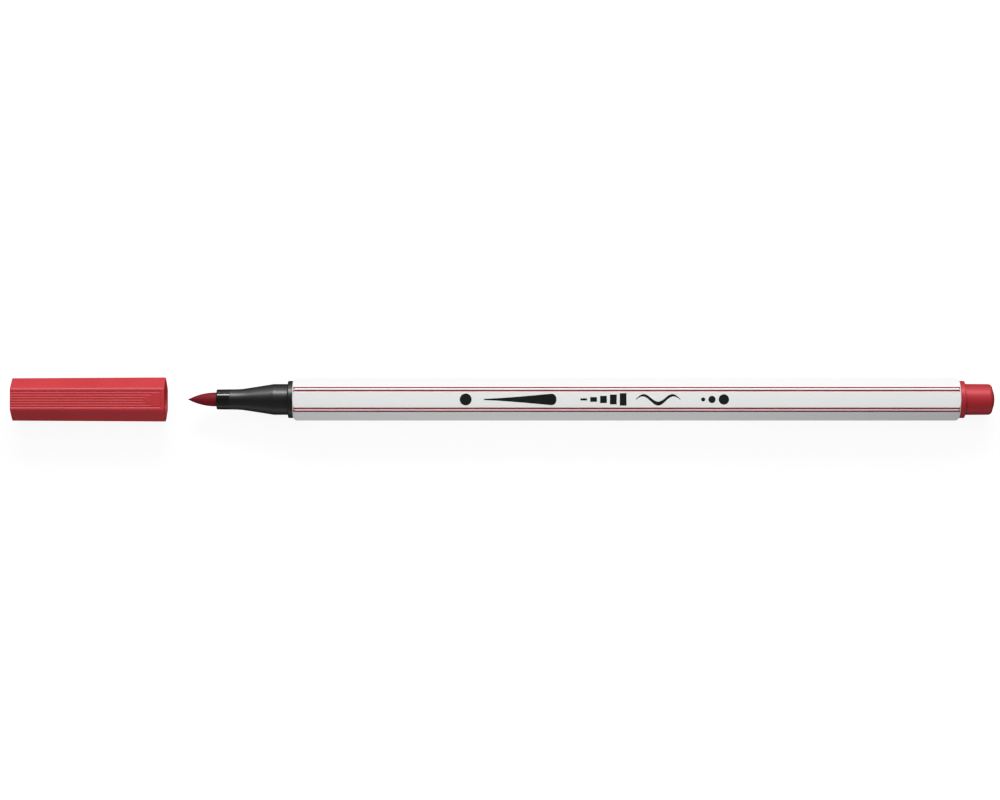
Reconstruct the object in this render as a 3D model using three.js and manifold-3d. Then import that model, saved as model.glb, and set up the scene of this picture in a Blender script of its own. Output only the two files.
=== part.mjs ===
// Brush pen: a fibre-tip pen with a flexible brush nib, its cap pulled off and lying in line with it.
// Millimetres, +Z up. +X runs along the pen, from the cap's closed end to the end plug.
// The pen lies on a flat of its six-sided barrel. The origin is on the surface it lies on,
// under the middle of the whole object.
import * as THREE from "three";
import { mergeVertices } from "three/addons/utils/BufferGeometryUtils.js";
import Module from "manifold-3d";

const wasm = await Module();
wasm.setup();

// ---- Driving dimensions ----

const ROUND_SEGMENTS = 32;
const TOUCH_GAP = 0.02; // between two faces that touch along the pen
const SLIP = 0.05; // radial clearance between nested round pieces
const SPIGOT_LEAD = 0.4; // chamfer that starts each spigot into the barrel
const STEM_LEAD = 0.5;

const BARREL = {
  length: 129.2,
  flats: 7.33, // across flats
  cornerRadius: 0.6,
  boreRadius: 2.9,
  endRadius: 3.62, // each end's edge, which the corners are chamfered down to
  ribCount: 6, // inside, holding the reservoir centred with air channels between
  ribWidth: 0.5,
  ribHeight: 0.2,
};

const COLLAR = { radius: 3.62, thickness: 0.97, edge: 0.2 };

const GRIP = {
  length: 13.87, // from the mouth to the collar
  mouthRadius: 1.95,
  mouthFillet: 0.35,
  neckLength: 4.75,
  neckRadius: 2.0,
  flare: 1.15, // half length of the curve from neck to cone
  coneEnd: 11.1,
  rearRadius: 3.0,
  spigotLength: 9, // inside the barrel
  stemBoreStart: 3, // from the mouth, where the bore narrows round the stem
  hollowStart: 10, // from the mouth, where the bore opens into the hollow spigot
  hollowRadius: 2.1,
};

const NIB = {
  length: 5.6, // outside the mouth
  radius: 1.37,
  fullness: 2.2, // 1 would be a straight cone
  stemRadius: 1.05,
  hingeAhead: 0.6, // bending point, ahead of the mouth
  stemGap: 0.15,
  stemInReservoir: 4,
};

const RESERVOIR = { radius: 2.5, filmThickness: 0.1, clearance: 0.6 };

const PLUG = {
  flangeThickness: 1.0,
  length: 5.35, // of the button behind the flange, without its dome
  frontRadius: 3.02,
  rearRadius: 2.98,
  fillet: 0.75,
  dome: 0.5,
  spigotLength: 8,
  wall: 0.7,
  buttonFloor: 2, // solid end of the hollow plug, without its dome
};

const CAP = {
  length: 29.9,
  flatsOpen: 7.62,
  flatsClosed: 7.33,
  cornerRadius: 0.45,
  boreOpen: 3.1,
  boreClosed: 3.02,
  endWall: 1.2,
  gapToNib: 4.2, // from the open rim to the brush's point, with the cap off
};

const GROOVE = {
  perFace: 7,
  pitch: 0.494,
  width: 0.3,
  depth: 0.15,
  shortest: 26, // from the closed end, on the middle groove
  arch: 3.1, // how much further the outermost grooves run
};

const SEAL = {
  cupRadius: 2.55,
  chamberRadius: 2.3,
  lipRadius: 2.08,
  lipLength: 1.8,
  start: 8.2, // closed end of the inner cup, from the cap's closed end
  end: 18.4,
  endWall: 0.8,
  leadIn: 0.25,
  finWidth: 5.9,
  finThickness: 0.5,
  finEnd: 16.5,
};

const VENT = { count: 4, radius: 0.45, circleRadius: 1.75 };

// ---- Places along the pen, from the barrel's front end ----

const collarFront = -COLLAR.thickness;
const mouth = collarFront - GRIP.length;
const nibPoint = mouth - NIB.length;
const hingePoint = mouth - NIB.hingeAhead;
const reservoirFront = GRIP.spigotLength + RESERVOIR.clearance;
const reservoirRear = BARREL.length - PLUG.spigotLength - RESERVOIR.clearance;
const plugEnd = BARREL.length + PLUG.flangeThickness + PLUG.length + PLUG.dome;
const capClosedEnd = nibPoint - CAP.gapToNib - CAP.length;

const middle = (capClosedEnd + plugEnd) / 2;
const axisHeight = CAP.flatsOpen / 2; // the cap's lower flat is what touches the surface

// ---- Outlines and solids ----

// Points [x, radius] along an arc about [x, radius], angles in degrees from +X.
function arc(x, radius, size, from, to, steps = 4) {
  return Array.from({ length: steps + 1 }, (_, i) => {
    const angle = THREE.MathUtils.degToRad(from + ((to - from) * i) / steps);
    return [x + size * Math.cos(angle), radius + size * Math.sin(angle)];
  });
}

// Points [x, radius] along a curve that leaves one point and reaches another, bending at a corner.
function bend(from, corner, to, steps = 4) {
  const curve = new THREE.QuadraticBezierCurve(
    new THREE.Vector2(...from),
    new THREE.Vector2(...corner),
    new THREE.Vector2(...to),
  );
  return curve.getPoints(steps).map((point) => [point.x, point.y]);
}

// Turns an outline of [x, radius] points about the X axis. One that stays off the axis is closed on itself.
function turned(outline) {
  const points = outline.map(([x, radius]) => new THREE.Vector2(radius, x));
  if (THREE.ShapeUtils.isClockWise(points)) points.reverse();
  if (points.every((point) => point.x > 0)) points.push(points[0].clone());
  return new THREE.LatheGeometry(points, ROUND_SEGMENTS).rotateZ(-Math.PI / 2);
}

// Extrudes a shape along +X. The shape's first axis becomes -Z and its second stays Y.
function alongX(shape, length) {
  return new THREE.ExtrudeGeometry(shape, { depth: length, bevelEnabled: false }).rotateY(Math.PI / 2);
}

// A hexagon with two flats facing up and down and rounded corners.
function roundedHexagon(flats, cornerRadius) {
  const stepsPerCorner = 4;
  const toCorner = (flats / 2 - cornerRadius) / Math.cos(Math.PI / 6);
  const points = [];
  for (let corner = 0; corner < 6; corner += 1) {
    const facing = Math.PI / 6 + (corner * Math.PI) / 3;
    for (let step = 0; step <= stepsPerCorner; step += 1) {
      const angle = facing + (step / stepsPerCorner - 0.5) * (Math.PI / 3);
      points.push(
        new THREE.Vector2(
          toCorner * Math.cos(facing) + cornerRadius * Math.cos(angle),
          toCorner * Math.sin(facing) + cornerRadius * Math.sin(angle),
        ),
      );
    }
  }
  return new THREE.Shape(points);
}

function toManifold(geometry) {
  const bare = geometry.clone();
  bare.deleteAttribute("normal");
  bare.deleteAttribute("uv");
  const merged = mergeVertices(bare, 1e-4);
  return new wasm.Manifold(
    new wasm.Mesh({
      numProp: 3,
      vertProperties: merged.attributes.position.array,
      triVerts: merged.index.array,
    }),
  );
}

function toGeometry(manifold) {
  const mesh = manifold.getMesh();
  const geometry = new THREE.BufferGeometry()
    .setAttribute("position", new THREE.BufferAttribute(mesh.vertProperties, 3))
    .setIndex(new THREE.BufferAttribute(mesh.triVerts, 1))
    .toNonIndexed();
  geometry.computeVertexNormals();
  return geometry;
}

// ---- Materials ----

const redPlastic = new THREE.MeshStandardMaterial({ color: 0xc0313c, roughness: 0.42, metalness: 0 });
const whitePlastic = new THREE.MeshStandardMaterial({ color: 0xf3f3f1, roughness: 0.3, metalness: 0 });
const blackPlastic = new THREE.MeshStandardMaterial({ color: 0x1f1f1e, roughness: 0.3, metalness: 0 });
const paleSealPlastic = new THREE.MeshStandardMaterial({ color: 0xc8c4bc, roughness: 0.5, metalness: 0 });
const inkedBrush = new THREE.MeshStandardMaterial({ color: 0x931524, roughness: 0.75, metalness: 0 });
const inkedFibre = new THREE.MeshStandardMaterial({ color: 0x8c2430, roughness: 0.95, metalness: 0 });
const clearFilm = new THREE.MeshStandardMaterial({ color: 0xe6e4dc, roughness: 0.2, metalness: 0 });

function part(name, geometry, material) {
  const mesh = new THREE.Mesh(geometry, material);
  mesh.name = name;
  return mesh;
}

// ---- Pen pieces ----

// Six-sided tube with a round bore, its corners chamfered round at both ends.
function barrel() {
  const { length, flats, cornerRadius, boreRadius, endRadius } = BARREL;
  const overCorners = flats; // any radius beyond the corners
  const hexagon = toManifold(alongX(roundedHexagon(flats, cornerRadius), length));
  const chamferedEnds = turned([
    [0, 0],
    [0, endRadius],
    [overCorners - endRadius, overCorners],
    [length - overCorners + endRadius, overCorners],
    [length, endRadius],
    [length, 0],
  ]);
  const bore = turned([[-1, 0], [-1, boreRadius], [length + 1, boreRadius], [length + 1, 0]]);
  let body = hexagon.intersect(toManifold(chamferedEnds)).subtract(toManifold(bore));
  const intoWall = 0.2;
  for (let i = 0; i < BARREL.ribCount; i += 1) {
    const height = BARREL.ribHeight + intoWall;
    const rib = new THREE.BoxGeometry(reservoirRear - reservoirFront, BARREL.ribWidth, height)
      .translate((reservoirFront + reservoirRear) / 2, 0, boreRadius + intoWall - height / 2)
      .rotateX((i * 2 * Math.PI) / BARREL.ribCount);
    body = body.add(toManifold(rib));
  }
  return part("barrel", toGeometry(body), whitePlastic);
}

// Black grip: mouth, neck, cone and collar outside, and the spigot pressed into the barrel.
function gripSection() {
  const coneStart = mouth + GRIP.neckLength;
  const coneEnd = mouth + GRIP.coneEnd;
  const slope = (GRIP.rearRadius - GRIP.neckRadius) / (coneEnd - coneStart);
  const spigotRadius = BARREL.boreRadius - SLIP;
  const mouthBore = NIB.radius + 2 * SLIP;
  const stemBore = NIB.stemRadius + SLIP;
  const stemBoreStart = mouth + GRIP.stemBoreStart;
  const hollowStart = mouth + GRIP.hollowStart;
  return part(
    "grip_section",
    turned([
      [mouth, mouthBore],
      ...arc(mouth + GRIP.mouthFillet, GRIP.mouthRadius - GRIP.mouthFillet, GRIP.mouthFillet, 180, 90),
      ...bend(
        [coneStart - GRIP.flare, GRIP.neckRadius],
        [coneStart, GRIP.neckRadius],
        [coneStart + GRIP.flare, GRIP.neckRadius + slope * GRIP.flare],
      ),
      [coneEnd, GRIP.rearRadius],
      [collarFront, GRIP.rearRadius],
      ...arc(collarFront + COLLAR.edge, COLLAR.radius - COLLAR.edge, COLLAR.edge, 180, 90, 3),
      [-TOUCH_GAP, COLLAR.radius],
      [-TOUCH_GAP, spigotRadius],
      [GRIP.spigotLength - SPIGOT_LEAD, spigotRadius],
      [GRIP.spigotLength, spigotRadius - SPIGOT_LEAD],
      [GRIP.spigotLength, GRIP.hollowRadius],
      [hollowStart, GRIP.hollowRadius],
      [hollowStart - (GRIP.hollowRadius - stemBore), stemBore],
      [stemBoreStart, stemBore],
      [stemBoreStart - (mouthBore - stemBore), mouthBore],
    ]),
    blackPlastic,
  );
}

// Radius of the brush at a distance from its point. It leaves the mouth straight.
function brushRadius(distance) {
  return NIB.radius * (1 - (1 - distance / NIB.length) ** NIB.fullness);
}

// Flexible brush ahead of the bending point. Its round root lets it tilt in the mouth.
function brushTip() {
  const steps = 9;
  const rootDistance = NIB.length - NIB.hingeAhead;
  const taper = Array.from({ length: steps }, (_, i) => {
    const distance = (rootDistance * i) / steps;
    return [nibPoint + distance, brushRadius(distance)];
  });
  const root = arc(hingePoint, 0, brushRadius(rootDistance), 90, 0, 5);
  return part("brush_tip", turned([...taper, ...root]), inkedBrush);
}

// The same nib behind the bending point: the stem that carries ink from the reservoir.
function nibStem() {
  const front = hingePoint + NIB.radius + NIB.stemGap;
  const rear = reservoirFront + NIB.stemInReservoir;
  return part(
    "nib_stem",
    turned([
      [front, 0],
      [front, NIB.stemRadius],
      [rear - STEM_LEAD, NIB.stemRadius],
      [rear, NIB.stemRadius - STEM_LEAD],
      [rear, 0],
    ]),
    inkedFibre,
  );
}

// Ink-soaked fibre rod, pierced by the nib's stem.
function inkReservoir() {
  const socketEnd = reservoirFront + NIB.stemInReservoir + TOUCH_GAP;
  const socketRadius = NIB.stemRadius + SLIP;
  return part(
    "ink_reservoir",
    turned([
      [socketEnd, 0],
      [socketEnd, socketRadius],
      [reservoirFront, socketRadius],
      [reservoirFront, RESERVOIR.radius],
      [reservoirRear, RESERVOIR.radius],
      [reservoirRear, 0],
    ]),
    inkedFibre,
  );
}

// Plastic film wound round the fibre rod, open at both ends.
function reservoirFilm() {
  const inner = RESERVOIR.radius + TOUCH_GAP;
  const outer = RESERVOIR.radius + RESERVOIR.filmThickness;
  return part(
    "reservoir_film",
    turned([
      [reservoirFront, inner],
      [reservoirFront, outer],
      [reservoirRear, outer],
      [reservoirRear, inner],
    ]),
    clearFilm,
  );
}

// Red plug that closes the barrel: hollow spigot, flange and domed button.
function endPlug() {
  const flangeRear = BARREL.length + PLUG.flangeThickness;
  const buttonEnd = flangeRear + PLUG.length;
  const spigotFront = BARREL.length - PLUG.spigotLength;
  const spigotRadius = BARREL.boreRadius - SLIP;
  const hollowRadius = spigotRadius - PLUG.wall;
  const hollowEnd = buttonEnd - PLUG.buttonFloor;
  const domeSteps = 3;
  const domeEdge = PLUG.rearRadius - PLUG.fillet;
  const dome = Array.from({ length: domeSteps }, (_, i) => {
    const radius = domeEdge * (1 - (i + 1) / domeSteps);
    return [buttonEnd + PLUG.dome * (1 - (radius / domeEdge) ** 2), radius];
  });
  return part(
    "end_plug",
    turned([
      [hollowEnd, 0],
      [hollowEnd, hollowRadius],
      [spigotFront, hollowRadius],
      [spigotFront, spigotRadius - SPIGOT_LEAD],
      [spigotFront + SPIGOT_LEAD, spigotRadius],
      [BARREL.length + TOUCH_GAP, spigotRadius],
      [BARREL.length + TOUCH_GAP, COLLAR.radius],
      ...arc(flangeRear - COLLAR.edge, COLLAR.radius - COLLAR.edge, COLLAR.edge, 90, 0, 3),
      [flangeRear, PLUG.frontRadius],
      ...arc(buttonEnd - PLUG.fillet, PLUG.rearRadius - PLUG.fillet, PLUG.fillet, 90, 0),
      ...dome,
    ]),
    redPlastic,
  );
}

// ---- Cap pieces, from the cap's closed end ----

// Six-sided outside that widens towards the open rim.
function capOutside() {
  const geometry = alongX(roundedHexagon(CAP.flatsOpen, CAP.cornerRadius), CAP.length);
  const { position } = geometry.attributes;
  for (let i = 0; i < position.count; i += 1) {
    const fromRim = 1 - position.getX(i) / CAP.length;
    const scale = 1 - fromRim * (1 - CAP.flatsClosed / CAP.flatsOpen);
    position.setY(i, position.getY(i) * scale);
    position.setZ(i, position.getZ(i) * scale);
  }
  return toManifold(geometry);
}

// One V-groove along the upper face, beside the middle one by a number of pitches.
function capGroove(place) {
  const outside = 1; // how far the cutter stands proud of the cap
  const outermost = (GROOVE.perFace - 1) / 2;
  const length = GROOVE.shortest + GROOVE.arch * (place / outermost) ** 2;
  const slope = outside / GROOVE.depth + 1;
  const section = new THREE.Shape([
    new THREE.Vector2(GROOVE.depth, 0),
    new THREE.Vector2(-outside, (GROOVE.width / 2) * slope),
    new THREE.Vector2(-outside, (-GROOVE.width / 2) * slope),
  ]);
  const draft = Math.atan((CAP.flatsOpen - CAP.flatsClosed) / 2 / CAP.length);
  return alongX(section, length + outside)
    .translate(-outside, place * GROOVE.pitch, 0)
    .rotateY(-draft)
    .translate(0, 0, CAP.flatsClosed / 2);
}

// Drafted hexagonal cap with grooves on every second face, a round bore and air vents in its closed end.
function capShell() {
  const bore = turned([
    [CAP.endWall, 0],
    [CAP.endWall, CAP.boreClosed],
    [CAP.length + 1, CAP.boreOpen],
    [CAP.length + 1, 0],
  ]);
  let body = capOutside().subtract(toManifold(bore));
  for (let face = 0; face < 3; face += 1) {
    for (let i = 0; i < GROOVE.perFace; i += 1) {
      const groove = capGroove(i - (GROOVE.perFace - 1) / 2).rotateX((face * 2 * Math.PI) / 3);
      body = body.subtract(toManifold(groove));
    }
  }
  for (let i = 0; i < VENT.count; i += 1) {
    const angle = ((i + 0.5) * 2 * Math.PI) / VENT.count;
    const vent = new THREE.CylinderGeometry(VENT.radius, VENT.radius, 3 * CAP.endWall, 12)
      .rotateZ(Math.PI / 2)
      .translate(0, VENT.circleRadius * Math.cos(angle), VENT.circleRadius * Math.sin(angle));
    body = body.subtract(toManifold(vent));
  }
  return part("cap_shell", toGeometry(body), redPlastic);
}

// Inner cup that seals on the grip's neck, on crossed fins that leave an air path past it.
function capInnerSeal() {
  const finStart = CAP.endWall + TOUCH_GAP;
  const cup = turned([
    [SEAL.start, 0],
    [SEAL.start, SEAL.cupRadius],
    [SEAL.end, SEAL.cupRadius],
    [SEAL.end, 0],
  ]);
  const lipStart = SEAL.end - SEAL.lipLength;
  const chamber = turned([
    [SEAL.start + SEAL.endWall, 0],
    [SEAL.start + SEAL.endWall, SEAL.chamberRadius],
    [lipStart - SEAL.leadIn, SEAL.chamberRadius],
    [lipStart, SEAL.lipRadius],
    [SEAL.end - SEAL.leadIn, SEAL.lipRadius],
    [SEAL.end, SEAL.lipRadius + SEAL.leadIn],
    [SEAL.end + 1, SEAL.lipRadius + SEAL.leadIn],
    [SEAL.end + 1, 0],
  ]);
  let body = toManifold(cup);
  for (const turn of [0, Math.PI / 2]) {
    const fin = new THREE.BoxGeometry(SEAL.finEnd - finStart, SEAL.finWidth, SEAL.finThickness)
      .translate((SEAL.finEnd + finStart) / 2, 0, 0)
      .rotateX(turn);
    body = body.add(toManifold(fin));
  }
  return part("cap_inner_seal", toGeometry(body.subtract(toManifold(chamber))), paleSealPlastic);
}

// ---- Assembly ----

const pen = new THREE.Group();
pen.position.set(-middle, 0, axisHeight);
pen.add(barrel(), gripSection(), brushTip(), nibStem(), inkReservoir(), reservoirFilm(), endPlug());

const cap = new THREE.Group();
cap.position.set(capClosedEnd - middle, 0, axisHeight);
cap.add(capShell(), capInnerSeal());

const brushPen = new THREE.Group();
brushPen.add(pen, cap);

export default brushPen;
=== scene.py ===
"""Looks of the fibre brush pen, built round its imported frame.

Metres. +X runs along the pen from the cap's closed end to the end plug, +Y across it, +Z up.
Outlines of turned pieces are lists of (x, radius).
Sections across the pen are lists of (y, z) from its axis.
"""
import math
import random

import bmesh
import bpy
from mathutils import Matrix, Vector


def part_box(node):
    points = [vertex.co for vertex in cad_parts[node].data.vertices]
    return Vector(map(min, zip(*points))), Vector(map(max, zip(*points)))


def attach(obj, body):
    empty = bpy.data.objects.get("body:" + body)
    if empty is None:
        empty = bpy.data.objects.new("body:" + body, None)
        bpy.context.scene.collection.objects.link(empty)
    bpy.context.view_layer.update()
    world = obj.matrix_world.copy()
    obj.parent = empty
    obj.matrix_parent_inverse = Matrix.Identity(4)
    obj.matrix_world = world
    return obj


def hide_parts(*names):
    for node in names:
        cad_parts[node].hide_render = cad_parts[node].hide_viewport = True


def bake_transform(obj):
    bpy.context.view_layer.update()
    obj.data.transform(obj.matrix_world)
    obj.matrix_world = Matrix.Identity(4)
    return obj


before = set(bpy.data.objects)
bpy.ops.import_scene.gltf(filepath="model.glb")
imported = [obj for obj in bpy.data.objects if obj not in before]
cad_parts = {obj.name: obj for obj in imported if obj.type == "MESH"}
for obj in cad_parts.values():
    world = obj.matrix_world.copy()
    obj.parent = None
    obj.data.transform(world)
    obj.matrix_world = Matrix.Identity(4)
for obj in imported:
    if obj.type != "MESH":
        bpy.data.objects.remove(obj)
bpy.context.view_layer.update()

MM = 0.001
SEGMENTS = 96
SHARP_ANGLE = 32  # in degrees, past which an edge is sharp
TOUCH_GAP = 0.02 * MM  # between two faces that touch along the pen

barrel_low, barrel_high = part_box("barrel")
grip_low, grip_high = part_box("grip_section")
brush_low, brush_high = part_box("brush_tip")
stem_low, stem_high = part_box("nib_stem")
reservoir_low, reservoir_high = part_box("ink_reservoir")
film_low, film_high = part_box("reservoir_film")
plug_low, plug_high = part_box("end_plug")
cap_low, cap_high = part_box("cap_shell")
seal_low, seal_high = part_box("cap_inner_seal")

AXIS_Z = (barrel_low.z + barrel_high.z) / 2
BARREL_START = barrel_low.x
BARREL_END = barrel_high.x
BARREL_HALF_FLATS = (barrel_high.z - barrel_low.z) / 2
BORE_RADIUS = 2.9 * MM
SPIGOT_RADIUS = 2.85 * MM
SPIGOT_LEAD = 0.4 * MM  # chamfer that starts each spigot into the barrel
MOUTH = grip_low.x
FLANGE_RADIUS = (grip_high.y - grip_low.y) / 2


# ---- Outlines and meshes ----


def rounded(corners, closed=False, steps=6):
    """(x, radius) points through corners (x, radius, fillet), each rounded by an arc of its fillet.

    An arc takes up to nearly half of a side that the next corner's arc needs too, or nearly all of it."""
    shared, alone = 0.49, 0.98
    points = []
    last = len(corners) - 1
    for i, (x, radius, fillet) in enumerate(corners):
        here = Vector((x, radius))
        if not fillet or (not closed and i in (0, last)):
            points.append(tuple(here))
            continue
        previous, following = corners[i - 1], corners[(i + 1) % len(corners)]
        before = Vector(previous[:2]) - here
        after = Vector(following[:2]) - here
        half_angle = before.angle(after) / 2
        room_before = before.length * (shared if previous[2] else alone)
        room_after = after.length * (shared if following[2] else alone)
        reach = min(fillet / math.tan(half_angle), room_before, room_after)
        size = reach * math.tan(half_angle)
        inward = (before.normalized() + after.normalized()).normalized()
        centre = here + inward * (size / math.sin(half_angle))
        start = here + before.normalized() * reach - centre
        end = here + after.normalized() * reach - centre
        sweep = math.pi - 2 * half_angle
        for step in range(steps + 1):
            t = step / steps
            arm = (start * math.sin((1 - t) * sweep) + end * math.sin(t * sweep)) / math.sin(sweep)
            points.append(tuple(centre + arm))
    return points


def circle(radius, count=SEGMENTS):
    """Section points round a circle."""
    turns = [2 * math.pi * i / count for i in range(count)]
    return [(radius * math.cos(turn), radius * math.sin(turn)) for turn in turns]


def rotated(y, z, turn):
    """(y, z) turned about the axis."""
    return y * math.cos(turn) - z * math.sin(turn), y * math.sin(turn) + z * math.cos(turn)


def ring_at(x, section):
    """Points of a section, placed round the axis at x."""
    return [(x, y, AXIS_Z + z) for y, z in section]


def column(y, z, outline):
    """Points over an outline, in the direction of (y, z) from the axis."""
    radius = math.hypot(y, z)
    return [(x, y * size / radius, AXIS_Z + z * size / radius) for x, size in outline]


def loft(rings, closed=False):
    """Vertices and quads through rings of points, the last joined to the first if closed.

    A ring of one point closes an end."""
    vertices = [point for ring in rings for point in ring]
    starts = [0]
    for ring in rings:
        starts.append(starts[-1] + len(ring))
    faces = []
    pairs = [(i, i + 1) for i in range(len(rings) - 1)]
    if closed:
        pairs.append((len(rings) - 1, 0))
    for a, b in pairs:
        count = max(len(rings[a]), len(rings[b]))
        for i in range(count):
            j = (i + 1) % count
            corners = [starts[a] + i, starts[a] + j, starts[b] + j, starts[b] + i]
            if len(rings[a]) == 1:
                corners = [starts[a], starts[b] + j, starts[b] + i]
            if len(rings[b]) == 1:
                corners = [starts[a] + i, starts[a] + j, starts[b]]
            faces.append(corners)
    return vertices, faces


def turned(outline, closed=False, count=SEGMENTS):
    """Mesh data of an outline turned about the pen's axis."""
    on_axis = 1e-7
    rings = []
    for x, radius in outline:
        rings.append(ring_at(x, circle(radius, count) if radius > on_axis else [(0, 0)]))
    return loft(rings, closed)


def solid(rings):
    """Mesh data through rings of the same count of points, with a face over each end."""
    vertices, faces = loft(rings)
    count = len(rings[0])
    faces.append(list(range(count)))
    faces.append(list(range(len(vertices) - count, len(vertices))))
    return vertices, faces


def make_piece(name, data, material, sharp=SHARP_ANGLE):
    """Mesh object from (vertices, faces), its normals outward and its edges sharp past an angle."""
    vertices, faces = data
    mesh = bpy.data.meshes.new(name)
    mesh.from_pydata(vertices, [], faces)
    shell = bmesh.new()
    shell.from_mesh(mesh)
    bmesh.ops.recalc_face_normals(shell, faces=shell.faces)
    shell.to_mesh(mesh)
    shell.free()
    mesh.shade_smooth()
    mesh.set_sharp_from_angle(angle=math.radians(sharp))
    mesh.materials.append(material)
    piece = bpy.data.objects.new(name, mesh)
    bpy.context.scene.collection.objects.link(piece)
    return piece


def combine(parts):
    """One (vertices, faces) from several."""
    vertices = []
    faces = []
    for part_vertices, part_faces in parts:
        offset = len(vertices)
        vertices.extend(part_vertices)
        faces.extend([[offset + i for i in face] for face in part_faces])
    return vertices, faces


def boolean(piece, tool, operation):
    """Applies a boolean to a piece and removes the tool."""
    modifier = piece.modifiers.new("boolean", "BOOLEAN")
    modifier.object = tool
    modifier.operation = operation
    modifier.solver = "EXACT"
    graph = bpy.context.evaluated_depsgraph_get()
    result = bpy.data.meshes.new_from_object(piece.evaluated_get(graph))
    result.set_sharp_from_angle(angle=math.radians(SHARP_ANGLE))
    piece.modifiers.clear()
    piece.data = result
    bpy.data.objects.remove(tool)


def smooth_step(value, low, high):
    """0 at low, 1 at high, and a smooth rise between."""
    t = min(max((value - low) / (high - low), 0), 1)
    return t * t * (3 - 2 * t)


def spread(low, high, count):
    """Evenly spaced values from low to high."""
    return [low + (high - low) * i / (count - 1) for i in range(count)]


# ---- Materials ----

NOISE_LOW, NOISE_HIGH = 0.3, 0.7  # most of a noise texture's values lie between
SKIN_SCALE = 9000  # of the finest texture, per metre
DRIFT_SCALE = 160


def grey(shade):
    """Colour without a hue."""
    return (shade, shade, shade)


def start_material(name, roughness):
    """New material, with its nodes, links, shader and object coordinates."""
    material = bpy.data.materials.new(name)
    material.use_nodes = True
    nodes = material.node_tree.nodes
    links = material.node_tree.links
    shader = nodes["Principled BSDF"]
    shader.inputs["Roughness"].default_value = roughness
    coordinates = nodes.new("ShaderNodeTexCoord")
    return material, nodes, links, shader, coordinates


def add_noise(nodes, links, coordinates, scale, detail=3.0, stretch=(1, 1, 1)):
    """Noise at a scale per metre, in object coordinates that can be stretched."""
    mapping = nodes.new("ShaderNodeMapping")
    mapping.inputs["Scale"].default_value = stretch
    noise = nodes.new("ShaderNodeTexNoise")
    noise.inputs["Scale"].default_value = scale
    noise.inputs["Detail"].default_value = detail
    links.new(coordinates.outputs["Object"], mapping.inputs["Vector"])
    links.new(mapping.outputs["Vector"], noise.inputs["Vector"])
    return noise


def vary_colour(nodes, links, noise, shader, dark, light):
    """Base colour that wanders between two near shades."""
    ramp = nodes.new("ShaderNodeValToRGB")
    ramp.color_ramp.elements[0].position = NOISE_LOW
    ramp.color_ramp.elements[1].position = NOISE_HIGH
    ramp.color_ramp.elements[0].color = (*dark, 1)
    ramp.color_ramp.elements[1].color = (*light, 1)
    links.new(noise.outputs["Fac"], ramp.inputs["Fac"])
    links.new(ramp.outputs["Color"], shader.inputs["Base Color"])


def vary_roughness(nodes, links, noise, shader, low, high):
    """Roughness that wanders between low and high."""
    scale = nodes.new("ShaderNodeMapRange")
    scale.inputs["From Min"].default_value = NOISE_LOW
    scale.inputs["From Max"].default_value = NOISE_HIGH
    scale.inputs["To Min"].default_value = low
    scale.inputs["To Max"].default_value = high
    links.new(noise.outputs["Fac"], scale.inputs["Value"])
    links.new(scale.outputs["Result"], shader.inputs["Roughness"])


def add_bump(nodes, links, noise, shader, height):
    """Fine relief of a height in metres."""
    bump = nodes.new("ShaderNodeBump")
    bump.inputs["Distance"].default_value = height
    links.new(noise.outputs["Fac"], bump.inputs["Height"])
    links.new(bump.outputs["Normal"], shader.inputs["Normal"])


def moulded_plastic(name, dark, light, smooth, rough, shine=0.5, glint=(1, 1, 1), drawn=(1, 1, 1)):
    """Moulded or extruded plastic: slowly drifting shades, uneven sheen and a very fine skin texture.

    shine is the strength of its reflections and glint their colour. drawn stretches the texture."""
    material, nodes, links, shader, coordinates = start_material(name, (smooth + rough) / 2)
    shader.inputs["Specular IOR Level"].default_value = shine
    shader.inputs["Specular Tint"].default_value = (*glint, 1)
    drift = add_noise(nodes, links, coordinates, DRIFT_SCALE, 2.0, drawn)
    skin = add_noise(nodes, links, coordinates, SKIN_SCALE, 2.0, drawn)
    vary_colour(nodes, links, drift, shader, dark, light)
    vary_roughness(nodes, links, drift, shader, smooth, rough)
    add_bump(nodes, links, skin, shader, 0.0015 * MM)
    return material


def fibre(name, dark, light, roughness):
    """Packed fibres that run along the pen: fine streaks of colour and height, with hardly any shine."""
    material, nodes, links, shader, coordinates = start_material(name, roughness)
    shader.inputs["Specular IOR Level"].default_value = 0.12
    streaks = add_noise(nodes, links, coordinates, SKIN_SCALE, 4.0, stretch=(0.04, 1, 1))
    vary_colour(nodes, links, streaks, shader, dark, light)
    add_bump(nodes, links, streaks, shader, 0.012 * MM)
    return material


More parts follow.
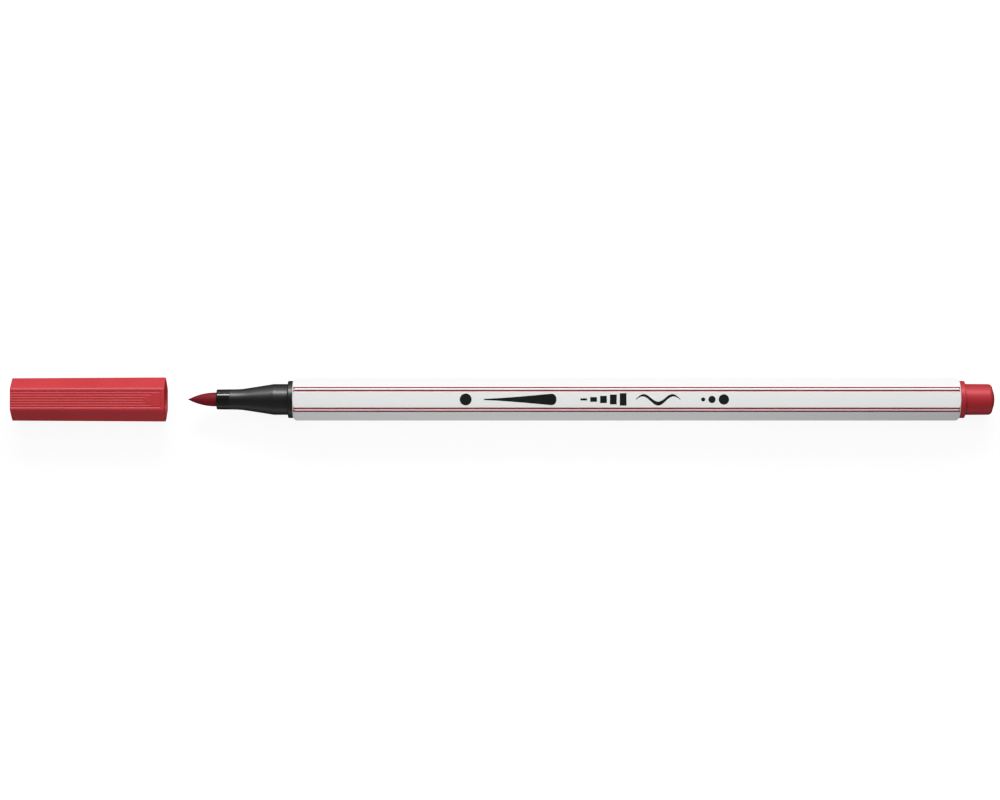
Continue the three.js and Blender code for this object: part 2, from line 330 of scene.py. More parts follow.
def make_materials():
    """Every material, by a short name. Shades are linear colours."""
    plastic = moulded_plastic
    return {
        "white": plastic("white_barrel_plastic", (0.80, 0.81, 0.80), (0.83, 0.84, 0.83), 0.32, 0.38,
                         drawn=(0.05, 1, 1)),
        "polished": plastic("polished_black_plastic", grey(0.007), grey(0.009), 0.10, 0.14),
        "black": plastic("black_grip_plastic", grey(0.008), grey(0.010), 0.35, 0.39, shine=0.65),
        "red": plastic("red_cap_plastic", (0.48, 0.028, 0.036), (0.51, 0.031, 0.040), 0.44, 0.5),
        "plug": plastic("red_plug_plastic", (0.38, 0.022, 0.029), (0.41, 0.025, 0.033), 0.42, 0.48,
                        shine=1.0, glint=(1.0, 0.32, 0.35)),
        "line": plastic("line_plastic", (0.23, 0.012, 0.021), (0.26, 0.016, 0.026), 0.4, 0.46),
        "print": plastic("print_ink", (0.005, 0.007, 0.006), (0.008, 0.010, 0.009), 0.5, 0.6,
                         shine=0.2),
        "brush": fibre("inked_brush_fibre", (0.15, 0.008, 0.013), (0.21, 0.012, 0.019), 0.5),
        "core": fibre("inked_reservoir_fibre", (0.20, 0.008, 0.02), (0.36, 0.03, 0.05), 0.9),
        "film": plastic("wrap_film_plastic", (0.72, 0.70, 0.66), (0.78, 0.76, 0.72), 0.15, 0.25),
        "seal": plastic("seal_polyethylene", (0.58, 0.56, 0.51), (0.64, 0.62, 0.57), 0.42, 0.52),
    }


# ---- Barrel ----

SIDE_RADIUS = 24 * MM  # of the slight bulge of each flat
BARREL_CORNER = 0.35 * MM
BARREL_EDGE = 0.04 * MM  # rounding of the edges at both ends
CHAMFER_RADIUS = 3.62 * MM  # of the barrel's end edge
RIB_HALF_WIDTH = 0.25 * MM  # of the ribs inside
RIB_HEIGHT = 0.2 * MM
FLAT_LINE_FROM_EDGE = 0.39 * MM
SIDE_LINE_FROM_EDGE = 0.46 * MM
FLAT_LINE_WIDTH = 0.33 * MM  # on the upper and the lower flat
SIDE_LINE_WIDTH = 0.45 * MM  # on the four sloping flats
LINE_INSET = 0.18 * MM  # from the barrel's ends
LINE_BEND = 0.05 * MM  # length of its bend over the chamfer's edge
PROUD = 0.008 * MM  # height of the lines and the print over the barrel
SUNK = 0.03 * MM


def flat_height(across):
    """Distance of a bulging flat from the axis, beside its middle."""
    return BARREL_HALF_FLATS - SIDE_RADIUS + math.sqrt(SIDE_RADIUS ** 2 - across ** 2)


def face_turn(face):
    """Direction of one of the six faces. Face 0 looks up."""
    return math.pi / 2 + face * math.pi / 3


def on_face(face, across, height):
    """(y, z) of a point over one of the six faces, where across runs round the section."""
    return rotated(height, across, face_turn(face))


def corner_arc(face, reach, radius, lean, steps):
    """Section points round the corner that follows a face, without its two ends.

    reach is its centre's distance from the axis, and lean how far the face's end already turns."""
    turn = face_turn(face)
    points = []
    for step in range(1, steps):
        angle = turn + lean + (math.pi / 3 - 2 * lean) * step / steps
        y = reach * math.cos(turn + math.pi / 6) + radius * math.cos(angle)
        z = reach * math.sin(turn + math.pi / 6) + radius * math.sin(angle)
        points.append((y, z))
    return points


def barrel_section():
    """Hexagon with bulging sides. Each corner's arc touches both sides without a kink."""
    centre = BARREL_HALF_FLATS - SIDE_RADIUS
    arm = SIDE_RADIUS - BARREL_CORNER
    reach = centre * math.cos(math.pi / 6) + math.sqrt(arm ** 2 - (centre / 2) ** 2)
    lean = math.asin(reach / 2 / arm)
    flat_end = SIDE_RADIUS * math.sin(lean)
    points = []
    for face in range(6):
        for across in spread(-flat_end, flat_end, 13):
            points.append(on_face(face, across, flat_height(across)))
        points.extend(corner_arc(face, reach, BARREL_CORNER, lean, 8))
    return points


def end_profile(radius):
    """(distance from the barrel's end, radius) from the bore, over the chamfer, to the skin's radius."""
    bevel = radius - CHAMFER_RADIUS
    return [
        (0, BORE_RADIUS + BARREL_EDGE),
        (0, CHAMFER_RADIUS - 2 * BARREL_EDGE),
        (0.3 * BARREL_EDGE, CHAMFER_RADIUS - 0.6 * BARREL_EDGE),
        (BARREL_EDGE, CHAMFER_RADIUS),
        (bevel + 0.4 * BARREL_EDGE, radius - 0.6 * BARREL_EDGE),
        (bevel + 1.1 * BARREL_EDGE, radius - 0.2 * BARREL_EDGE),
        (bevel + 2.4 * BARREL_EDGE, radius),
    ]


def barrel_data():
    """Six-sided tube. Each column of its skin meets the chamfer where its own radius does."""
    stations = spread(BARREL_START + 1 * MM, BARREL_END - 1 * MM, 14)
    columns = []
    for y, z in barrel_section():
        radius = math.hypot(y, z)
        profile = end_profile(radius)
        outline = [(BARREL_START + along, size) for along, size in profile]
        outline += [(x, radius) for x in stations]
        outline += [(BARREL_END - along, size) for along, size in reversed(profile)]
        outline += [(BARREL_END - BARREL_EDGE, BORE_RADIUS), (BARREL_START + BARREL_EDGE, BORE_RADIUS)]
        columns.append(column(y, z, outline))
    return loft(list(zip(*columns)), closed=True)


def rib_data(face):
    """One of the low ribs along the bore, which hold the reservoir centred. It is rooted in the wall."""
    inner, outer = BORE_RADIUS - RIB_HEIGHT, BORE_RADIUS + RIB_HEIGHT
    corners = [
        (-RIB_HALF_WIDTH, inner),
        (RIB_HALF_WIDTH, inner),
        (RIB_HALF_WIDTH, outer),
        (-RIB_HALF_WIDTH, outer),
    ]
    section = [on_face(face, across, height) for across, height in corners]
    return solid([ring_at(reservoir_low.x, section), ring_at(reservoir_high.x, section)])


def line_data(face, across, width):
    """One thin line along a face, over the chamfers, as a closed strip that stands just proud."""
    columns = []
    for side, height in ((-1, PROUD), (1, PROUD), (1, -SUNK), (-1, -SUNK)):
        place = across + side * width / 2
        y, z = on_face(face, place, flat_height(place))
        radius = math.hypot(y, z)
        bevel = radius - CHAMFER_RADIUS
        outline = [
            (BARREL_START + LINE_INSET, CHAMFER_RADIUS + LINE_INSET + height),
            (BARREL_START + bevel, radius + height),
            (BARREL_START + bevel + LINE_BEND, radius + height),
            (BARREL_END - bevel - LINE_BEND, radius + height),
            (BARREL_END - bevel, radius + height),
            (BARREL_END - LINE_INSET, CHAMFER_RADIUS + LINE_INSET + height),
        ]
        columns.append(column(y, z, outline))
    return solid(list(zip(*columns)))


def lines_data():
    """A line on both sides of the four edges that bound the upper and the lower flat."""
    edge = BARREL_HALF_FLATS * math.tan(math.pi / 6)
    parts = []
    for flat in (0, 3):
        for side in (-1, 1):
            parts.append(line_data(flat, side * (edge - FLAT_LINE_FROM_EDGE), FLAT_LINE_WIDTH))
            parts.append(line_data(flat + side, -side * (edge - SIDE_LINE_FROM_EDGE), SIDE_LINE_WIDTH))
    return combine(parts)


def mark_data(start, length, middle, half_width, count=40):
    """Thin closed patch on the upper flat. middle and half_width give it at 0 to 1 of its length.

    Its stations crowd toward both ends, where outlines are roundest."""
    thinnest = 0.01 * MM
    rings = []
    for turn in spread(0, math.pi, count):
        t = (1 - math.cos(turn)) / 2
        centre, half = middle(t), max(half_width(t), thinnest)
        upper = [(y, flat_height(y) + PROUD) for y in (centre - half, centre, centre + half)]
        lower = [(y, flat_height(y) - SUNK) for y in (centre + half, centre - half)]
        rings.append(ring_at(start + length * t, upper + lower))
    return solid(rings)


def straight(t):
    """Middle of a mark that runs straight along the flat."""
    return 0.0


def disc_data(x, radius):
    """Round dot about x."""
    return mark_data(x - radius, 2 * radius, straight, lambda t: radius * math.sqrt(1 - (2 * t - 1) ** 2))


def stroke_data(start, length):
    """Stroke that swells from a thin line to a broad round end."""
    def half_width(t):
        round_end = math.sqrt(1 - max((t - 0.92) / 0.08, 0) ** 2)
        return (0.12 + 1.1 * t ** 1.3) * round_end * MM

    return mark_data(start, length, straight, half_width)


def gauge_data(start, count):
    """Row of bars, each broader than the last."""
    pitch, length = 1.9 * MM, 1.3 * MM
    narrowest, growth = 0.2 * MM, 0.25 * MM
    bars = []
    for i in range(count):
        bars.append(mark_data(start + pitch * i, length, straight, lambda t: narrowest + growth * i, 2))
    return combine(bars)


def wave_data(start, length):
    """Wave of one and a half turns, broadest in its middle."""
    def middle(t):
        return 0.8 * MM * math.sin(3 * math.pi * t)

    def half_width(t):
        return (0.08 + 0.3 * math.sin(math.pi * t)) * MM

    return mark_data(start, length, middle, half_width, 60)


def marks_data():
    """Plain drawing marks: a dot, a swelling stroke, a gauge of line widths, a wave and three dots."""
    return combine([
        disc_data(-7.25 * MM, 1.15 * MM),
        stroke_data(-3.7 * MM, 14.0 * MM),
        gauge_data(14.9 * MM, 5),
        wave_data(25.6 * MM, 8.6 * MM),
        disc_data(38.6 * MM, 0.4 * MM),
        disc_data(40.3 * MM, 0.7 * MM),
        disc_data(42.6 * MM, 1.0 * MM),
    ])


# ---- Grip ----

NECK_LENGTH = 2.56 * MM  # of the polished stretch behind the mouth
FLARE_START = MOUTH + 4.75 * MM
CONE_END = MOUTH + 11.1 * MM
GRIP_RADIUS = 3.0 * MM  # behind the cone
COLLAR_THICKNESS = 0.97 * MM
MOUTH_BORE = 1.47 * MM
STEM_BORE = 1.1 * MM
HOLLOW_RADIUS = 2.1 * MM  # inside the spigot
MOUTH_BORE_END = MOUTH + 2.675 * MM
STEM_BORE_START = MOUTH + 3 * MM
HOLLOW_START = MOUTH + 10 * MM


def grip_data():
    """Black grip: mouth, polished neck, cone, rear and collar outside, and the stepped bore inside."""
    collar_front = BARREL_START - COLLAR_THICKNESS
    collar_rear = BARREL_START - TOUCH_GAP
    spigot_end = grip_high.x
    neck_end = MOUTH + NECK_LENGTH
    corners = [
        (MOUTH, MOUTH_BORE, 0.05 * MM),
        (MOUTH, 1.95 * MM, 0.3 * MM),
        (neck_end, 1.985 * MM, 0),
        (neck_end + 0.02 * MM, 1.978 * MM, 0),
        (FLARE_START, 2.0 * MM, 16 * MM),
        (CONE_END, GRIP_RADIUS, 0.6 * MM),
        (collar_front, GRIP_RADIUS, 0.14 * MM),
        (collar_front, FLANGE_RADIUS, 0.2 * MM),
        (collar_rear, FLANGE_RADIUS, 0.06 * MM),
        (collar_rear, SPIGOT_RADIUS, 0),
        (spigot_end - SPIGOT_LEAD, SPIGOT_RADIUS, 0.1 * MM),
        (spigot_end, SPIGOT_RADIUS - SPIGOT_LEAD, 0.05 * MM),
        (spigot_end, HOLLOW_RADIUS, 0.05 * MM),
        (HOLLOW_START, HOLLOW_RADIUS, 0.1 * MM),
        (HOLLOW_START - (HOLLOW_RADIUS - STEM_BORE), STEM_BORE, 0.1 * MM),
        (STEM_BORE_START, STEM_BORE, 0.1 * MM),
        (MOUTH_BORE_END, MOUTH_BORE, 0.1 * MM),
    ]
    return turned(rounded(corners, closed=True, steps=8), closed=True, count=128)


def polish_neck(grip, polished):
    """The straight neck behind the mouth is polished, the rest is satin."""
    grip.data.materials.append(polished)
    for face in grip.data.polygons:
        if face.center.x < MOUTH + NECK_LENGTH:
            face.material_index = 1


# ---- Brush nib ----

BRUSH_LENGTH = MOUTH - brush_low.x
BRUSH_RADIUS = 1.37 * MM
BRUSH_FULLNESS = 2.2  # 1 would be a straight cone
BRUSH_POINT = 0.1 * MM  # length of its blunt point
FLUTE_DEPTH = 0.0035 * MM
STEM_RADIUS = (stem_high.y - stem_low.y) / 2
STEM_LEAD = 0.5 * MM  # chamfer at the stem's end


def brush_radius(distance):
    """Radius of the brush at a distance from its point. It leaves the mouth straight."""
    return BRUSH_RADIUS * (1 - (1 - distance / BRUSH_LENGTH) ** BRUSH_FULLNESS)


def blunt_radius(distance):
    """Radius of the rounded end of the brush's point."""
    return brush_radius(BRUSH_POINT) * math.sqrt(1 - (1 - distance / BRUSH_POINT) ** 2)


def nib_outline():
    """Brush, step down inside the mouth, and stem."""
    outline = []
    for distance in spread(0, BRUSH_POINT, 7)[1:]:
        outline.append((brush_low.x + distance, blunt_radius(distance)))
    for distance in spread(BRUSH_POINT, BRUSH_LENGTH, 40)[1:]:
        outline.append((brush_low.x + distance, brush_radius(distance)))
    outline += [
        (MOUTH + 0.9 * MM, BRUSH_RADIUS),
        (MOUTH + 1.2 * MM, STEM_RADIUS + 0.1 * MM),
        (MOUTH + 1.6 * MM, STEM_RADIUS),
        (MOUTH + 9 * MM, STEM_RADIUS),
        (stem_high.x - STEM_LEAD, STEM_RADIUS),
        (stem_high.x, STEM_RADIUS - STEM_LEAD),
    ]
    return outline


def nib_data():
    """Brush and stem in one piece, its skin drawn into fine uneven flutes by its fibres."""
    rng = random.Random(7)
    waves = [(rng.randint(14, 60), rng.uniform(0, 2 * math.pi), rng.uniform(-1.2, 1.2)) for _ in range(14)]

    def flutes(turn, along):
        return sum(math.sin(count * turn + phase + twist * along) for count, phase, twist in waves)

    turns = [2 * math.pi * i / 180 for i in range(180)]
    rings = [ring_at(brush_low.x, [(0, 0)])]
    for x, radius in nib_outline():
        along = (x - brush_low.x) / BRUSH_LENGTH
        depth = FLUTE_DEPTH * min(radius / BRUSH_RADIUS, 1)
        section = []
        for turn in turns:
            size = radius - depth * (flutes(turn, along) + len(waves) / 2) / 2
            section.append((size * math.cos(turn), size * math.sin(turn)))
        rings.append(ring_at(x, section))
    rings.append(ring_at(stem_high.x, [(0, 0)]))
    return loft(rings)


# ---- Reservoir ----

SOCKET_DEPTH = 4.02 * MM
SOCKET_RADIUS = STEM_RADIUS + 0.05 * MM


def reservoir_data():
    """Fibre rod with a socket for the nib's stem."""
    radius = (reservoir_high.y - reservoir_low.y) / 2
    start, end = reservoir_low.x, reservoir_high.x
    corners = [
        (start + SOCKET_DEPTH, 0, 0),
        (start + SOCKET_DEPTH, SOCKET_RADIUS, 0.05 * MM),
        (start, SOCKET_RADIUS, 0.15 * MM),
        (start, radius, 0.2 * MM),
        (end, radius, 0.2 * MM),
        (end, 0, 0),
    ]
    return turned(rounded(corners))


def film_data():
    """Film wound round the rod: one turn and a bit, so that its overlap stands out as a seam."""
    inner = 2.52 * MM
    outer = (film_high.y - film_low.y) / 2
    room = outer - inner  # for both layers at the seam
    thickness = room * 0.45
    full_turn = 2 * math.pi
    overlap = 0.5  # in radians
    turns = spread(0, full_turn + overlap, 110)

    def side_of_film(offset, places):
        points = []
        for turn in places:
            rise = (room - thickness) * smooth_step(turn, full_turn - 1.2, full_turn - 0.1)
            radius = inner + offset + rise
            points.append((radius * math.cos(turn), radius * math.sin(turn)))
        return points

    section = side_of_film(thickness, turns) + side_of_film(0, reversed(turns))
    rings = [ring_at(x, section) for x in spread(film_low.x, film_high.x, 8)]
    vertices, faces = loft(rings)
    for base in (0, len(vertices) - len(section)):
        for i in range(len(turns) - 1):
            opposite = len(section) - 1 - i
            faces.append([base + i, base + i + 1, base + opposite - 1, base + opposite])
    return vertices, faces


# ---- End plug ----

PLUG_FLANGE = 1.0 * MM
PLUG_BUTTON = 5.35 * MM  # without its dome
PLUG_FLOOR = 2 * MM  # solid end of the hollow plug, without its dome
PLUG_WALL = 0.7 * MM
PLUG_LEAD = 0.3 * MM  # radial part of its spigot's chamfer
DOME_RADIUS = 2.23 * MM
DOME_STEPS = 12


def plug_data():
    """Red plug: hollow spigot, flange and domed button."""
    flange_front = BARREL_END + TOUCH_GAP
    flange_rear = BARREL_END + PLUG_FLANGE
    shoulder = flange_rear + PLUG_BUTTON
    hollow_end = shoulder - PLUG_FLOOR
    hollow = SPIGOT_RADIUS - PLUG_WALL
    corners = [
        (hollow_end, 0, 0),
        (hollow_end, hollow, 0.3 * MM),
        (plug_low.x, hollow, 0.1 * MM),
        (plug_low.x, SPIGOT_RADIUS - PLUG_LEAD, 0.1 * MM),
        (plug_low.x + SPIGOT_LEAD, SPIGOT_RADIUS, 0.1 * MM),
        (flange_front, SPIGOT_RADIUS, 0),
        (flange_front, FLANGE_RADIUS, 0.08 * MM),
        (flange_rear, FLANGE_RADIUS, 0.18 * MM),
        (flange_rear, 3.02 * MM, 0.08 * MM),
        (shoulder, 2.98 * MM, 0.75 * MM),
        (shoulder, 2.229 * MM, 0),  # foot of the dome
    ]
    outline = rounded(corners, steps=10)
    dome = plug_high.x - shoulder
    for radius in spread(DOME_RADIUS, 0, DOME_STEPS + 1)[1:]:
        outline.append((shoulder + dome * (1 - (radius / DOME_RADIUS) ** 2), radius))
    return turned(outline, count=128)


# ---- Cap ----

CAP_LENGTH = cap_high.x - cap_low.x
CAP_HALF_OPEN = (cap_high.z - cap_low.z) / 2
CAP_HALF_CLOSED = 3.665 * MM
CAP_CORNER = 0.55 * MM
CAP_CROWN = 0.015 * MM  # bulge of each face
CAP_END_WALL = 1.2 * MM
CAP_END_EDGE = 0.2 * MM
CAP_BORE_OPEN = 3.1 * MM
CAP_BORE_CLOSED = 3.02 * MM
GROOVE_COUNT = 7
GROOVE_PITCH = 0.494 * MM
GROOVE_DEPTH = 0.06 * MM
GROOVE_SHORTEST = 26.0 * MM  # from the closed end, on the middle groove
GROOVE_ARCH = 3.1 * MM  # how much further the outermost grooves run
RIM_EDGE = 0.26 * MM
PANEL_HALF_WIDTH = 1.76 * MM
PANEL_DEPTH = 0.03 * MM
PANEL_END = 0.78 * MM  # from the open rim
PANEL_LINE_DEPTH = 0.05 * MM  # of the fine line across the panel's end
PANEL_LINE_WIDTH = 0.12 * MM


def rib_depth(across, along):
    """How deep the ribbed face lies at a distance across its middle and along from the closed end."""
    panel = smooth_step(PANEL_HALF_WIDTH - abs(across), 0, 0.3 * MM)
    panel *= smooth_step(CAP_LENGTH - PANEL_END - along, -0.05 * MM, 0.05 * MM)
    from_line = (CAP_LENGTH - PANEL_END - along) / PANEL_LINE_WIDTH
    line = smooth_step(1 - abs(from_line), 0, 1) * smooth_step(PANEL_HALF_WIDTH - abs(across), 0, 0.2 * MM)
    depth = PANEL_DEPTH * panel + PANEL_LINE_DEPTH * line
    outermost = (GROOVE_COUNT - 1) // 2
    place = round(across / GROOVE_PITCH)
    if abs(place) <= outermost:
        end = GROOVE_SHORTEST + GROOVE_ARCH * (place / outermost) ** 2
        wave = 0.5 + 0.5 * math.cos(2 * math.pi * (across / GROOVE_PITCH - place))
        depth += GROOVE_DEPTH * wave * smooth_step(end - along, -0.25 * MM, 0.35 * MM)
    return depth


def cap_section(along):
    """Section of the cap's outside: ribs on every second face, smooth flats between."""
    t = along / CAP_LENGTH
    half = CAP_HALF_CLOSED + (CAP_HALF_OPEN - CAP_HALF_CLOSED) * t - CAP_CROWN
    reach = (half - CAP_CORNER) / math.cos(math.pi / 6)
    flat_end = reach / 2
    ribs = spread(-PANEL_HALF_WIDTH, PANEL_HALF_WIDTH, 89)
    points = []
    for face in range(6):
        ribbed = face % 2 == 0
        places = [-flat_end, *ribs, flat_end] if ribbed else spread(-flat_end, flat_end, 9)
        for across in places:
            height = half + CAP_CROWN * (1 - (across / flat_end) ** 2)
            if ribbed:
                height -= rib_depth(across, along)
            points.append(on_face(face, across, height))
        points.extend(corner_arc(face, reach, CAP_CORNER, 0, 8))
    return points


def shrunk(section, amount):
    """Section drawn in towards the axis by an amount."""
    points = []
    for y, z in section:
        radius = math.hypot(y, z)
        points.append((y * (1 - amount / radius), z * (1 - amount / radius)))
    return points


def with_radius(section, radius):
    """Circle whose points lie at a section's own angles."""
    return [(y * radius / math.hypot(y, z), z * radius / math.hypot(y, z)) for y, z in section]


def edge_steps(edge):
    """(distance from the end, distance inward) of points round a rounded edge, up to the end itself."""
    angles = spread(0, math.pi / 2, 5)
    return [(edge * (1 - math.sin(angle)), edge * (1 - math.cos(angle))) for angle in angles]


def cap_stations():
    """Places of the sections between the rounded edges, close together where the ribs and the panel end."""
    ribs_end = GROOVE_SHORTEST - 0.6 * MM
    panel_end = CAP_LENGTH - PANEL_END - 2 * PANEL_LINE_WIDTH
    stations = spread(0.3 * MM, ribs_end, 12)
    stations += spread(ribs_end, panel_end, 44)[1:]
    stations += spread(panel_end, CAP_LENGTH - 1.5 * RIM_EDGE, 16)[1:]
    return stations


def cap_shell_data():
    """Ribbed six-sided shell with a round bore, rounded at its rim and its closed end."""
    closed_end, open_end = cap_section(0), cap_section(CAP_LENGTH)
    sections = [
        (0, [(0, 0)]),
        (0, with_radius(closed_end, 0.4 * MM)),
        (0, with_radius(closed_end, 2.6 * MM)),
    ]
    for along, inward in reversed(edge_steps(CAP_END_EDGE)):
        sections.append((along, shrunk(closed_end, inward)))
    for along in cap_stations():
        sections.append((along, cap_section(along)))
    for back, inward in edge_steps(RIM_EDGE):
        sections.append((CAP_LENGTH - back, shrunk(open_end, inward)))
    chamfer = 0.12 * MM
    bore = rounded([
        (CAP_LENGTH, CAP_BORE_OPEN + 0.3 * MM, 0),
        (CAP_LENGTH, CAP_BORE_OPEN + chamfer, 0.05 * MM),
        (CAP_LENGTH - chamfer, CAP_BORE_OPEN, 0.05 * MM),
        (CAP_END_WALL, CAP_BORE_CLOSED, 0.2 * MM),
        (CAP_END_WALL, 0.4 * MM, 0),
    ])
    for along, radius in bore:
        sections.append((along, with_radius(open_end, radius)))
    sections.append((CAP_END_WALL, [(0, 0)]))
    return loft([ring_at(cap_low.x + along, section) for along, section in sections])


VENT_COUNT = 4
VENT_RADIUS = 0.45 * MM
VENT_CIRCLE = 1.75 * MM  # radius of the circle that the holes lie on
VENT_CHAMFER = 0.08 * MM


def vent_data(turn):
    """Cutter for one air hole in the cap's closed end, chamfered at its outer edge."""
    reach = 1 * MM  # how far the cutter stands out of the cap
    depth = 3 * MM
    middle_y, middle_z = rotated(VENT_CIRCLE, 0, turn)
    rings = [ring_at(cap_low.x - reach, [(middle_y, middle_z)])]
    for along, radius in (
        (-reach, VENT_RADIUS + VENT_CHAMFER + reach),
        (VENT_CHAMFER, VENT_RADIUS),
        (depth, VENT_RADIUS),
    ):
        section = [(middle_y + y, middle_z + z) for y, z in circle(radius, 32)]
        rings.append(ring_at(cap_low.x + along, section))
    rings.append(ring_at(cap_low.x + depth, [(middle_y, middle_z)]))
    return loft(rings)


SEAL_START = cap_low.x + 8.2 * MM  # closed end of the inner cup
SEAL_END = seal_high.x
SEAL_RADIUS = 2.55 * MM
CHAMBER_RADIUS = 2.3 * MM
LIP_RADIUS = 2.08 * MM


def cup_data():
    """Solid outside of the inner cup."""
    corners = [
        (SEAL_START, 0, 0),
        (SEAL_START, SEAL_RADIUS, 0.4 * MM),
        (SEAL_END, SEAL_RADIUS, 0.08 * MM),
        (SEAL_END, 0, 0),
    ]
    return turned(rounded(corners))


def chamber_data():
    """Cutter for the inside of the cup, with its sealing lip."""
    start = SEAL_START + 0.8 * MM
    lip_start = SEAL_END - 1.8 * MM
    lead_in = 0.25 * MM
    corners = [
        (start, 0, 0),
        (start, CHAMBER_RADIUS, 0.3 * MM),
        (lip_start - lead_in, CHAMBER_RADIUS, 0.3 * MM),
        (lip_start, LIP_RADIUS, 0.2 * MM),
        (SEAL_END - lead_in, LIP_RADIUS, 0.1 * MM),
        (SEAL_END + lead_in, LIP_RADIUS + 2 * lead_in, 0),
        (SEAL_END + lead_in, 0, 0),
    ]
    return turned(rounded(corners))


def fin_data(turn):
    """One of the crossed fins that hold the cup in the cap."""
    start, end = seal_low.x, cap_low.x + 16.5 * MM
    half_width = 2.95 * MM
    half_thickness = 0.25 * MM
    lead = 0.3 * MM
    rings = []
    for x, width in (
        (start, half_width - lead),
        (start + lead, half_width),
        (end - lead, half_width),
        (end, half_width - lead),
    ):
        corners = [
            (-width, -half_thickness),
            (width, -half_thickness),
            (width, half_thickness),
            (-width, half_thickness),
        ]
        rings.append(ring_at(x, [rotated(y, z, turn) for y, z in corners]))
    return solid(rings)


# ---- Pieces, with the bodies that they ride on ----


def place(piece, body, slot, *nodes):
    """Rides a piece on its body and hides the CAD nodes it stands for. slot is not used."""
    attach(piece, body)
    if nodes:
        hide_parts(*nodes)


def build_pen(materials):
    """Everything that stays still: barrel with its lines and marks, grip, reservoir and plug."""
    ribs = [rib_data(face) for face in range(6)]
    tube = make_piece("barrel_tube", combine([barrel_data(), *ribs]), materials["white"])
    place(tube, "pen", "barrel_plastic", "barrel")
    place(make_piece("barrel_lines", lines_data(), materials["line"]), "pen", "red_plastic")
    place(make_piece("barrel_marks", marks_data(), materials["print"]), "pen", "grip_plastic")
    grip = make_piece("grip", grip_data(), materials["black"])
    polish_neck(grip, materials["polished"])
    place(grip, "pen", "grip_plastic", "grip_section")
    rod = make_piece("fibre_reservoir", reservoir_data(), materials["core"])
    place(rod, "pen", "reservoir_fibre", "ink_reservoir")
    place(make_piece("film_wrap", film_data(), materials["film"]), "pen", "wrap_film", "reservoir_film")
    place(make_piece("plug", plug_data(), materials["plug"]), "pen", "red_plastic", "end_plug")


def build_nib(materials):
    """Brush and stem in one piece, in place of the CAD's brush and stem."""
    nib = make_piece("brush_nib", nib_data(), materials["brush"], sharp=60)
    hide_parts("brush_tip", "nib_stem")
    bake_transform(nib)


def build_cap(materials):
    """Shell with its air holes, and the inner cup on its crossed fins."""
    shell = make_piece("cap_body", cap_shell_data(), materials["red"])
    for i in range(VENT_COUNT):
        turn = (i + 0.5) * 2 * math.pi / VENT_COUNT
        boolean(shell, make_piece("vent_cutter", vent_data(turn), materials["red"]), "DIFFERENCE")
    place(shell, "cap", "red_plastic", "cap_shell")
    seal = make_piece("inner_seal", cup_data(), materials["seal"])
    for turn in (0, math.pi / 2):
        boolean(seal, make_piece("fin_tool", fin_data(turn), materials["seal"]), "UNION")
    boolean(seal, make_piece("chamber_cutter", chamber_data(), materials["seal"]), "DIFFERENCE")
    place(seal, "cap", "seal_plastic", "cap_inner_seal")


# ---- Camera, floor and lights ----

CAMERA_DISTANCE = 690 * MM
CAMERA_X = -0.62 * MM
CAMERA_Y = -0.107 * MM


def add_camera():
    """Camera high over the pen, looking straight down."""
    data = bpy.data.cameras.new("camera")
    data.sensor_width = 36
    data.lens = 128
    data.clip_start = 0.01
    camera = bpy.data.objects.new("camera", data)
    camera.location = (CAMERA_X, CAMERA_Y, AXIS_Z + CAMERA_DISTANCE)
    bpy.context.scene.collection.objects.link(camera)
    bpy.context.scene.camera = camera


def add_floor():
    """Pale floor, and a pale dome round it. Neither lights the pen or is mirrored in it."""
    material, nodes, links, shader, coordinates = start_material("pale_floor", 0.9)
    paper = add_noise(nodes, links, coordinates, 40)
    vary_colour(nodes, links, paper, shader, grey(0.29), grey(0.31))
    shader.inputs["Specular IOR Level"].default_value = 0.1
    shader.inputs["Emission Color"].default_value = (1, 1, 1, 1)
    shader.inputs["Emission Strength"].default_value = 0.95
    half = 4.0
    corners = [(-half, -half, 0), (half, -half, 0), (half, half, 0), (-half, half, 0)]
    floor = make_piece("floor", (corners, [[0, 1, 2, 3]]), material)
    dome = make_piece("dome", dome_data(5.0), material)
    for backdrop in (floor, dome):
        backdrop.visible_diffuse = False
        backdrop.visible_glossy = False
    dome.visible_shadow = False


def dome_data(radius):
    """Half sphere over the origin."""
    rings = []
    for rise in spread(0, math.pi / 2, 13)[:-1]:
        level, size = radius * math.sin(rise), radius * math.cos(rise)
        rings.append([(x, y, level) for x, y in circle(size, 48)])
    rings.append([(0, 0, radius)])
    return loft(rings)


def add_softbox(name, elevation, half_width, half_height, radiance, distance, mirrored=True):
    """Rectangular light over the pen, at 0 on the +Y side's horizon and 180 on the -Y side's.

    Its elevation and half sizes are angles in degrees, seen from the pen.
    A near one fades toward the pen's ends."""
    width = 2 * distance * math.tan(math.radians(half_width))
    height = 2 * distance * math.tan(math.radians(half_height))
    data = bpy.data.lights.new(name, "AREA")
    data.shape = "RECTANGLE"
    data.size = width
    data.size_y = height
    data.energy = radiance * math.pi * width * height
    light = bpy.data.objects.new(name, data)
    rise = math.radians(elevation)
    direction = Vector((0, math.cos(rise), math.sin(rise)))
    light.location = direction * distance
    light.rotation_mode = "QUATERNION"
    light.rotation_quaternion = direction.to_track_quat("Z", "Y")
    light.visible_glossy = mirrored
    light.visible_camera = False
    bpy.context.scene.collection.objects.link(light)


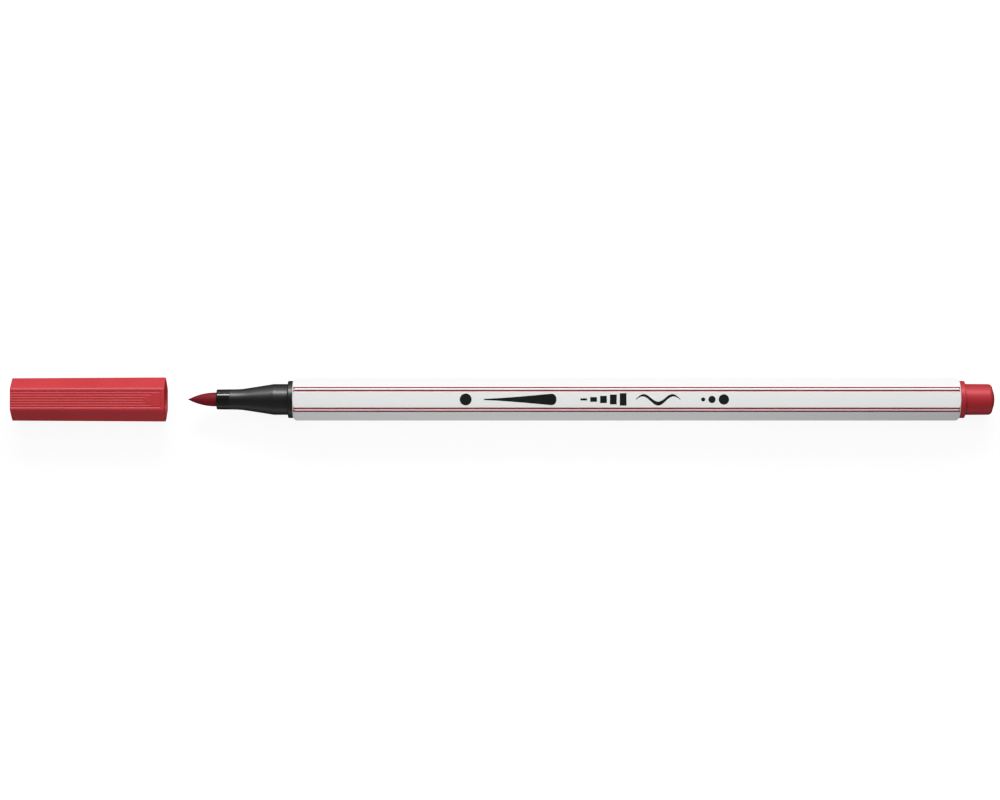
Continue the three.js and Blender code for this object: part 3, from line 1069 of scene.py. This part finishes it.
def ramp_of(nodes, links, value, stops):
    """Grey ramp over a value from -1 to 1, through (value, brightness) stops."""
    place = nodes.new("ShaderNodeMapRange")
    place.inputs["From Min"].default_value = -1
    links.new(value, place.inputs["Value"])
    ramp = nodes.new("ShaderNodeValToRGB")
    elements = ramp.color_ramp.elements
    while len(elements) < len(stops):
        elements.new(0.5)
    for element, (at, brightness) in zip(elements, stops):
        element.position = (at + 1) / 2
        element.color = (brightness, brightness, brightness, 1)
    links.new(place.outputs["Result"], ramp.inputs["Fac"])
    return ramp.outputs["Color"]


def add_world():
    """Studio walls: a bright band round the horizon along the pen's long sides, brighter on the +Y side."""
    world = bpy.data.worlds.new("studio")
    world.use_nodes = True
    nodes, links = world.node_tree.nodes, world.node_tree.links
    coordinates = nodes.new("ShaderNodeTexCoord")
    split = nodes.new("ShaderNodeSeparateXYZ")
    links.new(coordinates.outputs["Generated"], split.inputs["Vector"])
    band = [(-1, 0.08), (-0.4, 0.12), (-0.2, 0.4), (-0.05, 1.0), (0.12, 1.0), (0.3, 0.3), (1, 0.2)]
    sides = [(-1, 0.7), (-0.6, 0.6), (-0.1, 0.1), (0.1, 0.1), (0.6, 1.0), (1, 1.1)]
    by_height = ramp_of(nodes, links, split.outputs["Z"], band)
    by_side = ramp_of(nodes, links, split.outputs["Y"], sides)
    product = nodes.new("ShaderNodeVectorMath")
    product.operation = "MULTIPLY"
    links.new(by_height, product.inputs[0])
    links.new(by_side, product.inputs[1])
    links.new(product.outputs["Vector"], nodes["Background"].inputs["Color"])
    bpy.context.scene.world = world


def set_response():
    """Plain display transform, with the brightest tones rolled off as a camera does."""
    view = bpy.context.scene.view_settings
    view.view_transform = "Standard"
    view.use_curve_mapping = True
    mapping = view.curve_mapping
    brightest = 1.2
    mapping.white_level = (brightest, brightest, brightest)
    curve = mapping.curves[3]
    for scene_light, shown in ((0.65, 0.65), (1.0, 0.93)):
        curve.points.new(scene_light / brightest, shown)
    for point in curve.points:
        point.handle_type = "AUTO_CLAMPED"
    mapping.update()


def add_studio():
    add_floor()
    add_world()
    far, near = 2500 * MM, 150 * MM
    add_softbox("key", elevation=34, half_width=18, half_height=7, radiance=17, distance=far)
    add_softbox("overhead", elevation=62, half_width=22, half_height=22, radiance=1.75, distance=far,
                mirrored=False)
    add_softbox("fill", elevation=160, half_width=10, half_height=10, radiance=8.9, distance=near,
                mirrored=False)
    set_response()


add_camera()
palette = make_materials()
build_pen(palette)
build_nib(palette)
build_cap(palette)
add_studio()
